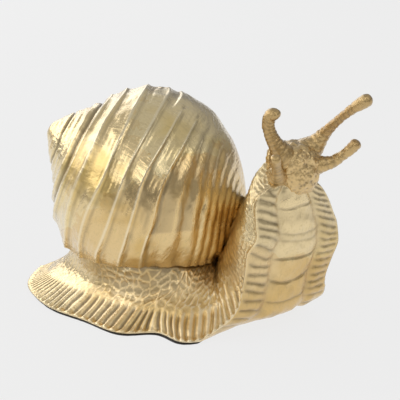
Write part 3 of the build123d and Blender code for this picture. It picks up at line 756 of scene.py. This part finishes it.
def feeler_tube(path_mm, radii_mm, rings, seed):
    """A tube along a smooth path: circles square to it, whose radius runs smoothly from size to size, closes
    in a quarter circle at the end, and rises and falls with a cosine for each ring."""
    share = np.linspace(0, 1, feeler_rows)
    line = even_curve(np.array([in_neck(*spot) for spot in path_mm]) * mm, share)
    way = np.gradient(line, axis=0)
    way /= np.linalg.norm(way, axis=1, keepdims=True)
    side = np.cross(way, upward + 0.3 * forward)
    side /= np.linalg.norm(side, axis=1, keepdims=True)
    over = np.cross(side, way)
    radius = np.interp(share, np.linspace(0, 1, len(radii_mm)), radii_mm) * mm
    radius = np.convolve(np.pad(radius, 6, mode="edge"), np.ones(13) / 13, "valid")
    end = np.sqrt(np.clip(1 - ((share - knob_share) / (1 - knob_share)).clip(0, 1) ** 2, 0, 1))
    turn = np.linspace(0, math.tau, feeler_columns)
    circle = np.cos(turn)[None, :, None] * side[:, None] + np.sin(turn)[None, :, None] * over[:, None]
    grid = line[:, None] + (radius * end)[:, None, None] * circle
    wrinkle = np.cos(math.tau * (rings * share[:, None] + 0.25 * ripple(grid, 9 * mm, seed)))
    wrinkle = wrinkle * (share < wrinkles_end)[:, None]
    bump = wrinkle_height * wrinkle + 0.13 * mm * ripple(grid, 3.4 * mm, seed + 1)
    grid = grid + (bump * end[:, None])[..., None] * circle
    grid[:, -1] = grid[:, 0]
    grid[0], grid[-1] = grid[0].mean(0), grid[-1].mean(0)
    return grid, 0.42 + 0.15 * wrinkle


feeler_material = gold_leaf(
    "feeler_gilding", leaf=(0.66, 0.47, 0.19, 1), amber=(0.53, 0.33, 0.09, 1), shade=(0.29, 0.19, 0.06, 1),
    rough=0.33, square=0.09, grain=900.0, grain_depth=0.0004,
)
# Each feeler's path and radii in millimetres, the number of its wrinkles, and its seed.
feelers = {
    "upper_left_feeler": (
        ((88, 54, 136), (94, 60, 143), (98.5, 64.5, 151), (105.5, 69, 160.5), (113, 74.5, 169.5),
         (120.5, 79.8, 176.8), (127.5, 85.5, 183)), (11, 9.5, 6.0, 4.2, 3.4, 3.2, 3.6, 4.7, 4.9), 16, 51,
    ),
    "upper_right_feeler": (
        ((93, 36, 136), (94.5, 30.5, 145), (92.5, 26, 153.5), (91, 24, 160.7), (91.5, 23.7, 167.2),
         (94.5, 25, 171), (98, 27, 168.5)), (11, 9.5, 6.2, 5.0, 4.5, 4.5, 4.8, 4.8), 15, 61,
    ),
    "lower_left_feeler": (
        ((92, 54, 128), (101, 61, 131), (107, 67.1, 133.4), (112, 73, 138.8), (116.5, 77.6, 144.6),
         (120, 80.5, 150.2)), (11, 8.2, 5.4, 4.2, 3.6, 4.1, 4.3), 9, 71,
    ),
    "lower_right_feeler": (
        ((92, 32, 124.5), (98, 27.5, 127.3), (103.4, 23.5, 130.6), (109.5, 19.4, 136), (115, 15, 142.5),
         (119, 12.2, 148.5)), (8.5, 6.6, 5.0, 3.8, 3.2, 3.6, 3.8), 9, 81,
    ),
}
for name, (path, radii, rings, seed) in feelers.items():
    grid, relief_and_light = feeler_tube(path, radii, rings, seed)
    piece = add_surface(name + "_gilded", [grid], feeler_material, [relief_and_light])
    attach(piece, "root")
    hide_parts(name)


# The felt under the foot: black wool felt 2 mm thick, die cut a little inside the rim and glued on.
# Its cut edge is rounded and slightly fluffy.
felt_inset, felt_round, fluff_height = 2.2 * mm, 0.5 * mm, 0.12 * mm
felt_points = 361
felt_material, node, link = new_material("black_felt")
felt_fibres = node("TexNoise", Scale=1400, Detail=4)
felt_tint = node("ValToRGB")
felt_tint.color_ramp.elements[0].color = (0.006, 0.004, 0.003, 1)
felt_tint.color_ramp.elements[1].color = (0.03, 0.024, 0.018, 1)
felt_bump = node("Bump", Distance=0.0004)
felt_shader = node("BsdfPrincipled", Roughness=0.95, Sheen_Weight=0.3)
link(node("TexCoord").outputs["Object"], felt_fibres.inputs["Vector"])
link(felt_fibres.outputs["Fac"], felt_tint.inputs[0])
link(felt_fibres.outputs["Fac"], felt_bump.inputs["Height"])
link(felt_tint.outputs[0], felt_shader.inputs["Base Color"])
link(felt_bump.outputs[0], felt_shader.inputs["Normal"])
link(felt_shader.outputs[0], node("OutputMaterial").inputs["Surface"])
low_near = near_margin[near_margin[:, 2] < ground_height][:, :2]
low_far = far_margin[far_margin[:, 2] < ground_height][:, :2]
felt_loop = np.concatenate((low_near, low_far[::-1]))
loop_walk = travelled(felt_loop)
loop_at = np.linspace(0, loop_walk[-1], felt_points)
felt_loop = np.stack([np.interp(loop_at, loop_walk, felt_loop[:, axis]) for axis in (0, 1)], 1)
felt_middle = felt_loop.mean(0)
felt_outward = felt_loop - felt_middle
felt_outward /= np.linalg.norm(felt_outward, axis=1, keepdims=True)
felt_loop = felt_loop - felt_inset * felt_outward
# The slab is rings of the loop: from the middle of the underside out, round the cut edge, and back in.
arc = np.radians((-90, -60, -30, 0, 30, 60, 90))
ring_in = np.concatenate(((1, 0.5), 0 * arc, (0.5, 1)))
edge_in = np.concatenate(((0, 0), felt_round * (1 - np.cos(arc)), (0, 0)))
edge_rise = felt_thickness / 2 + (felt_thickness / 2 - felt_round) * np.sign(arc) + felt_round * np.sin(arc)
ring_rise = np.concatenate(((0, 0), edge_rise, (felt_thickness, felt_thickness)))
fluff = fluff_height * ripple(np.pad(felt_loop, ((0, 0), (0, 1))), 3 * mm, 91)
felt_plan = felt_loop[None] * (1 - ring_in[:, None, None]) + felt_middle * ring_in[:, None, None]
felt_plan = felt_plan - edge_in[:, None, None] * felt_outward
felt_plan = felt_plan + (fluff[:, None] * felt_outward)[None] * (ring_in == 0)[:, None, None]
felt_rises = np.broadcast_to(ring_rise[:, None, None], felt_plan.shape[:2] + (1,))
felt_grid = np.concatenate((felt_plan, felt_rises), 2)
felt_grid[:, -1] = felt_grid[:, 0]
felt_pad = add_surface("foot_felt", [felt_grid], felt_material, [np.zeros(felt_grid.shape[:2])])
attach(felt_pad, "root")
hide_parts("felt_pad")


# The four pins: bright drawn steel wire, glued into the head and into the feelers' plugs.
# They keep their CAD shapes, and nothing of them shows.
pin_material, node, link = new_material("drawn_steel")
pin_draw = node("TexNoise", Scale=1500)
pin_bump = node("Bump", Distance=0.00002)
pin_shader = node("BsdfPrincipled", Base_Color=(0.58, 0.58, 0.6, 1), Metallic=1, Roughness=0.28)
link(node("TexCoord").outputs["Object"], pin_draw.inputs["Vector"])
link(pin_draw.outputs["Fac"], pin_bump.inputs["Height"])
link(pin_bump.outputs[0], pin_shader.inputs["Normal"])
link(pin_shader.outputs[0], node("OutputMaterial").inputs["Surface"])
for name in feelers:
    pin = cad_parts[name.replace("feeler", "pin")]
    pin.data.materials.clear()
    pin.data.materials.append(pin_material)
